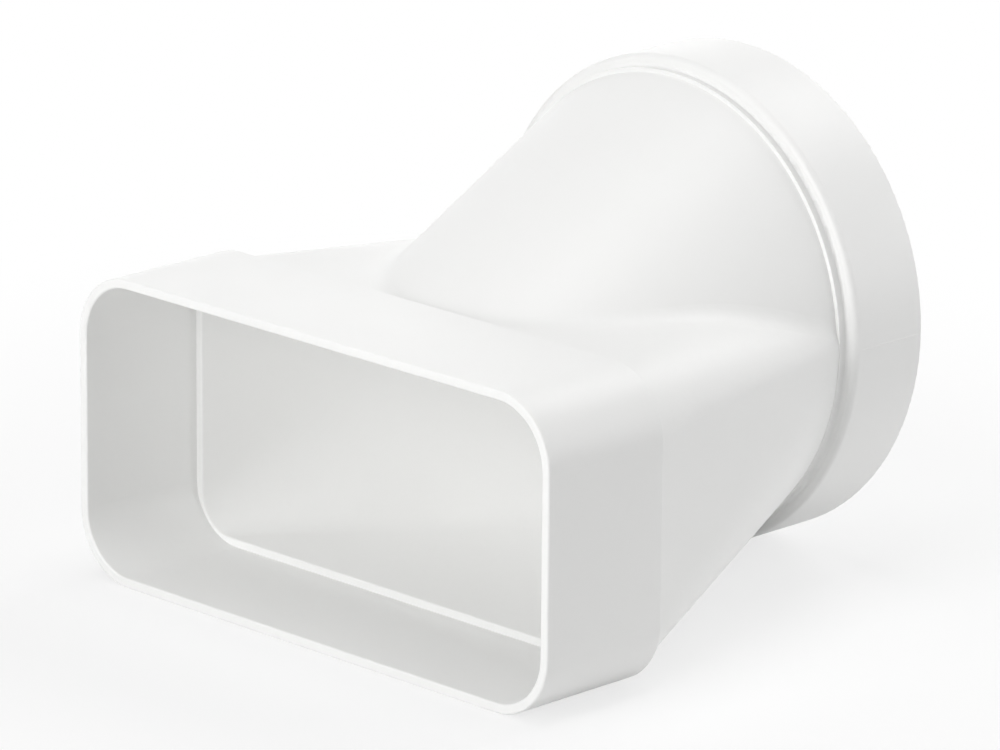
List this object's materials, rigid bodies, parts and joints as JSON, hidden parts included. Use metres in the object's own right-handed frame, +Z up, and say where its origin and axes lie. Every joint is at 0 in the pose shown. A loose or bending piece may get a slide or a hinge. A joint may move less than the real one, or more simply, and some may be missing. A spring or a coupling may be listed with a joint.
{
  "type": "duct adapter",
  "caption": "White moulded duct adapter that leads a flat rectangular channel socket into a taller round pipe socket through a half-cone with sloping shoulders.",
  "frame": {"origin": "bottom centre of the whole adapter, on the plane that both collars stand on", "axes": "+Y along the duct to the round mouth, -Y out of the rectangular mouth, +Z up, X across the width"},
  "size_m": [0.1694, 0.156, 0.1306],
  "materials": {
    "white_plastic": "satin moulded surface, neutral white"
  },
  "bodies": {
    "root": {"adapter_body": "white_plastic"}
  },
  "joints": []
}
